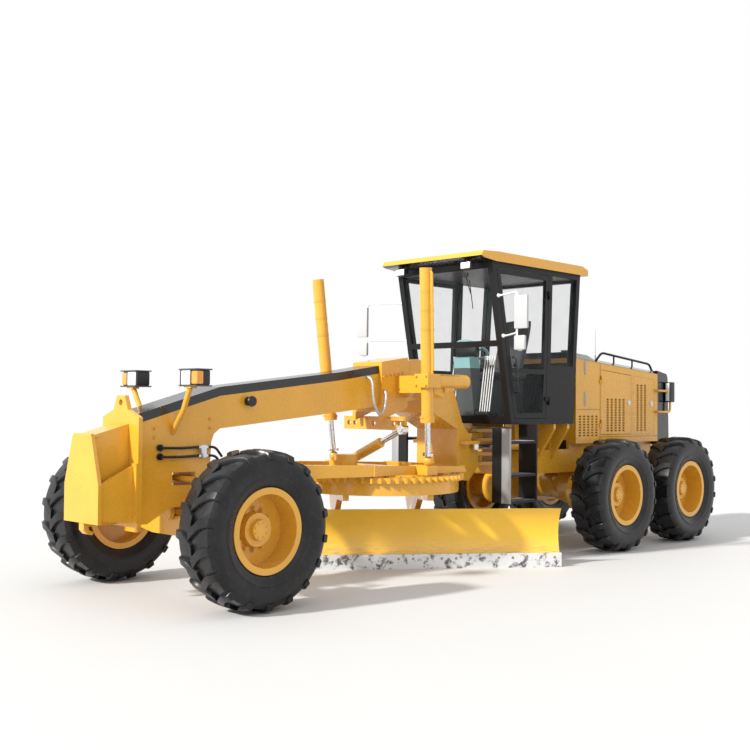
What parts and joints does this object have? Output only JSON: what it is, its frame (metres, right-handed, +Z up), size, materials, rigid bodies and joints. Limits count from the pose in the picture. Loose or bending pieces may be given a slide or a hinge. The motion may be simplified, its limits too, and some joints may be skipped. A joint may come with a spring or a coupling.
{
  "type": "motor grader",
  "caption": "Articulated motor grader with a tandem drive, leaning steered front wheels, a cab at the middle, and a blade on a turning circle under the front frame.",
  "frame": {"origin": "on the ground under the middle of the machine's box, 60 mm left of its centre plane, because the parked blade reaches further out on the left", "axes": "+X forward, +Y to the machine's left, +Z up"},
  "size_m": [8.726, 2.7192, 3.4],
  "materials": {
    "yellow_paint": "gloss",
    "black_paint": "gloss",
    "dark_steel": "satin",
    "tyre_rubber": "matte",
    "chrome_rod": "polished",
    "window_glass": "gloss",
    "seat_fabric": "matte",
    "console_plastic": "matte",
    "hose_rubber": "matte",
    "ladder_metal": "satin"
  },
  "bodies": {
    "rear_frame": {"rear_chassis": "yellow_paint", "tandem_cases": "yellow_paint", "cab_shell": "black_paint", "cab_roof": "yellow_paint", "cab_glass": "window_glass", "control_console": "console_plastic", "operator_seat": "seat_fabric", "hood_shell": "yellow_paint", "hood_cover": "black_paint", "engine_block": "dark_steel", "ladders": "ladder_metal", "cab_fittings": "black_paint"},
    "cab_door_left": {"cab_door_left": "black_paint", "door_glass_left": "window_glass"},
    "cab_door_right": {"cab_door_right": "black_paint", "door_glass_right": "window_glass"},
    "hood_door_left": {"hood_door_left": "yellow_paint"},
    "hood_door_right": {"hood_door_right": "yellow_paint"},
    "front_frame": {"front_frame": "yellow_paint", "front_nose": "yellow_paint", "push_block": "yellow_paint", "saddle": "yellow_paint", "headlamps": "black_paint", "saddle_hoses": "hose_rubber", "axle_beam": "yellow_paint"},
    "lean_left": {"lean_carrier_left": "yellow_paint"},
    "lean_right": {"lean_carrier_right": "yellow_paint"},
    "knuckle_left": {"knuckle_left": "yellow_paint"},
    "knuckle_right": {"knuckle_right": "yellow_paint"},
    "lean_bar": {"lean_bar": "yellow_paint"},
    "tie_rod": {"tie_rod": "yellow_paint"},
    "lift_cylinder_left": {"lift_cylinder_left": "yellow_paint"},
    "lift_cylinder_right": {"lift_cylinder_right": "yellow_paint"},
    "lift_rod_left": {"lift_rod_left": "chrome_rod"},
    "lift_rod_right": {"lift_rod_right": "chrome_rod"},
    "shift_bush": {"shift_bush": "yellow_paint"},
    "shift_cylinder": {"shift_cylinder": "yellow_paint"},
    "shift_rod": {"shift_rod": "chrome_rod"},
    "drawbar_ball": {"drawbar_ball": "dark_steel"},
    "drawbar": {"drawbar": "yellow_paint"},
    "circle": {"circle": "yellow_paint"},
    "blade_carrier": {"blade_carrier": "yellow_paint"},
    "blade": {"moldboard": "yellow_paint", "cutting_edge": "dark_steel"},
    "bend_cylinder_left": {"bend_cylinder_left": "yellow_paint"},
    "bend_cylinder_right": {"bend_cylinder_right": "yellow_paint"},
    "bend_rod_left": {"bend_rod_left": "chrome_rod"},
    "bend_rod_right": {"bend_rod_right": "chrome_rod"},
    "wheel_front_left": {"rim_front_left": "yellow_paint", "tyre_front_left": "tyre_rubber"},
    "wheel_front_right": {"rim_front_right": "yellow_paint", "tyre_front_right": "tyre_rubber"},
    "wheel_middle_left": {"rim_middle_left": "yellow_paint", "tyre_middle_left": "tyre_rubber"},
    "wheel_middle_right": {"rim_middle_right": "yellow_paint", "tyre_middle_right": "tyre_rubber"},
    "wheel_rear_left": {"rim_rear_left": "yellow_paint", "tyre_rear_left": "tyre_rubber"},
    "wheel_rear_right": {"rim_rear_right": "yellow_paint", "tyre_rear_right": "tyre_rubber"}
  },
  "joints": [
    {"name": "spin_front_left", "type": "hinge", "parent": "knuckle_left", "child": "wheel_front_left", "pos_m": [3.387, 1.01795, 0.664], "axis": [0, 1, 0], "continuous": true},
    {"name": "spin_front_right", "type": "hinge", "parent": "knuckle_right", "child": "wheel_front_right", "pos_m": [3.387, -1.13705, 0.664], "axis": [0, 1, 0], "continuous": true},
    {"name": "spin_middle_left", "type": "hinge", "parent": "rear_frame", "child": "wheel_middle_left", "pos_m": [-2.104, 1.01795, 0.664], "axis": [0, 1, 0], "continuous": true},
    {"name": "spin_middle_right", "type": "hinge", "parent": "rear_frame", "child": "wheel_middle_right", "pos_m": [-2.104, -1.13705, 0.664], "axis": [0, 1, 0], "continuous": true},
    {"name": "spin_rear_left", "type": "hinge", "parent": "rear_frame", "child": "wheel_rear_left", "pos_m": [-3.642, 1.01795, 0.664], "axis": [0, 1, 0], "continuous": true},
    {"name": "spin_rear_right", "type": "hinge", "parent": "rear_frame", "child": "wheel_rear_right", "pos_m": [-3.642, -1.13705, 0.664], "axis": [0, 1, 0], "continuous": true},
    {"name": "articulation", "type": "hinge", "parent": "rear_frame", "child": "front_frame", "pos_m": [-0.773, -0.05955, 1.222], "axis": [0, 0, -1], "range_deg": [-27, 27]},
    {"name": "bend_cylinder_swing_left", "type": "hinge", "parent": "rear_frame", "child": "bend_cylinder_left", "pos_m": [-1.313, 0.39544, 1.24], "axis": [0, 0, 1], "range_deg": [-10.58, 10.58]},
    {"name": "bend_rod_slide_left", "type": "slide", "parent": "bend_cylinder_left", "child": "bend_rod_left", "axis": [0.9929, -0.1187, 0], "range_m": [-0.1846, 0.1846]},
    {"name": "bend_cylinder_swing_right", "type": "hinge", "parent": "rear_frame", "child": "bend_cylinder_right", "pos_m": [-1.313, -0.51455, 1.24], "axis": [0, 0, 1], "range_deg": [-10.58, 10.58]},
    {"name": "bend_rod_slide_right", "type": "slide", "parent": "bend_cylinder_right", "child": "bend_rod_right", "axis": [0.9929, 0.1187, 0], "range_m": [-0.1846, 0.1846]},
    {"name": "lean_left", "type": "hinge", "parent": "front_frame", "child": "lean_left", "pos_m": [3.387, 0.54044, 0.6], "axis": [1, 0, 0], "range_deg": [-17, 17]},
    {"name": "steer_left", "type": "hinge", "parent": "lean_left", "child": "knuckle_left", "pos_m": [3.387, 0.60845, 0.6], "axis": [0, 0, 1], "range_deg": [-45, 45]},
    {"name": "lean_right", "type": "hinge", "parent": "front_frame", "child": "lean_right", "pos_m": [3.387, -0.65956, 0.6], "axis": [1, 0, 0], "range_deg": [-17, 17]},
    {"name": "steer_right", "type": "hinge", "parent": "lean_right", "child": "knuckle_right", "pos_m": [3.387, -0.72755, 0.6], "axis": [0, 0, 1], "range_deg": [-45, 45]},
    {"name": "lean_bar_pivot", "type": "hinge", "parent": "lean_left", "child": "lean_bar", "pos_m": [3.457, 0.54044, 1.036], "axis": [1, 0, 0], "range_deg": [-17.5, 17.5]},
    {"name": "tie_rod_slide", "type": "slide", "parent": "front_frame", "child": "tie_rod", "axis": [0, 1, 0], "range_m": [-0.1883, 0.1883]},
    {"name": "drawbar_swing", "type": "hinge", "parent": "front_frame", "child": "drawbar_ball", "pos_m": [3.027, -0.05955, 0.85], "axis": [0, 0, -1], "range_deg": [-9, 9]},
    {"name": "drawbar_lift", "type": "hinge", "parent": "drawbar_ball", "child": "drawbar", "pos_m": [3.027, -0.05955, 0.85], "axis": [0, 1, 0], "range_deg": [-13, 8]},
    {"name": "lift_cylinder_swing_left", "type": "hinge", "parent": "front_frame", "child": "lift_cylinder_left", "pos_m": [0.889, 0.68244, 1.95], "axis": [1, 0, 0], "range_deg": [-23.41, 23.41]},
    {"name": "lift_rod_slide_left", "type": "slide", "parent": "lift_cylinder_left", "child": "lift_rod_left", "axis": [0.0876, 0.0511, 0.9948], "range_m": [-0.509, 0.3152]},
    {"name": "lift_cylinder_swing_right", "type": "hinge", "parent": "front_frame", "child": "lift_cylinder_right", "pos_m": [0.889, -0.80156, 1.95], "axis": [1, 0, 0], "range_deg": [-23.41, 23.41]},
    {"name": "lift_rod_slide_right", "type": "slide", "parent": "lift_cylinder_right", "child": "lift_rod_right", "axis": [0.0876, -0.0511, 0.9948], "range_m": [-0.509, 0.3152]},
    {"name": "shift_bush_turn", "type": "hinge", "parent": "drawbar", "child": "shift_bush", "pos_m": [1.073, -0.47956, 1.005], "axis": [1, 0, 0], "range_deg": [-4.55, 4.55]},
    {"name": "shift_cylinder_swing", "type": "hinge", "parent": "shift_bush", "child": "shift_cylinder", "pos_m": [1.073, -0.47956, 1.005], "axis": [1, 0, 0], "range_deg": [-12.9, 20.65]},
    {"name": "shift_rod_slide", "type": "slide", "parent": "shift_cylinder", "child": "shift_rod", "axis": [0, 0.9136, 0.4066], "range_m": [-0.271, 0.271]},
    {"name": "circle_turn", "type": "hinge", "parent": "drawbar", "child": "circle", "pos_m": [0.823, -0.05955, 0.9], "axis": [0, 0, 1], "continuous": true},
    {"name": "blade_tilt", "type": "hinge", "parent": "circle", "child": "blade_carrier", "pos_m": [0.89572, 0.0359, 0.205], "axis": [-0.7955, 0.606, 0], "range_deg": [-5, 40]},
    {"name": "blade_shift", "type": "slide", "parent": "blade_carrier", "child": "blade", "axis": [0.7955, -0.606, 0], "range_m": [-0.7, 0.3]},
    {"name": "cab_door_left_hinge", "type": "hinge", "parent": "rear_frame", "child": "cab_door_left", "pos_m": [-1.275, 0.66375, 2.3], "axis": [0, 0, 1], "range_deg": [0, 80]},
    {"name": "cab_door_right_hinge", "type": "hinge", "parent": "rear_frame", "child": "cab_door_right", "pos_m": [-1.275, -0.78285, 2.3], "axis": [0, 0, -1], "range_deg": [0, 80]},
    {"name": "hood_door_left_hinge", "type": "hinge", "parent": "rear_frame", "child": "hood_door_left", "pos_m": [-2.641, 0.50374, 1.7], "axis": [0, 0, -1], "range_deg": [0, 100]},
    {"name": "hood_door_right_hinge", "type": "hinge", "parent": "rear_frame", "child": "hood_door_right", "pos_m": [-2.641, -0.62286, 1.7], "axis": [0, 0, 1], "range_deg": [0, 100]}
  ],
  "couplings": [
    {"joint": "bend_cylinder_swing_left", "follows": "articulation", "ratio": -0.35481},
    {"joint": "bend_rod_slide_left", "follows": "articulation", "m_per_rad": 0.38323},
    {"joint": "bend_cylinder_swing_right", "follows": "articulation", "ratio": -0.35481},
    {"joint": "bend_rod_slide_right", "follows": "articulation", "m_per_rad": -0.38323},
    {"joint": "lean_right", "follows": "lean_left", "ratio": 1},
    {"joint": "steer_right", "follows": "steer_left", "ratio": 1},
    {"joint": "lean_bar_pivot", "follows": "lean_left", "ratio": -1},
    {"joint": "tie_rod_slide", "follows": "steer_left", "m_per_rad": -0.23588},
    {"joint": "lift_cylinder_swing_left", "follows": "drawbar_swing", "ratio": 2.5457},
    {"joint": "lift_rod_slide_left", "follows": "drawbar_lift", "m_per_rad": 2.2214},
    {"joint": "lift_cylinder_swing_right", "follows": "drawbar_swing", "ratio": 2.5457},
    {"joint": "lift_rod_slide_right", "follows": "drawbar_lift", "m_per_rad": 2.2214},
    {"joint": "shift_bush_turn", "follows": "drawbar_swing", "ratio": 0.45},
    {"joint": "shift_cylinder_swing", "follows": "drawbar_lift", "ratio": -1.55},
    {"joint": "shift_rod_slide", "follows": "drawbar_swing", "m_per_rad": -1.7}
  ]
}
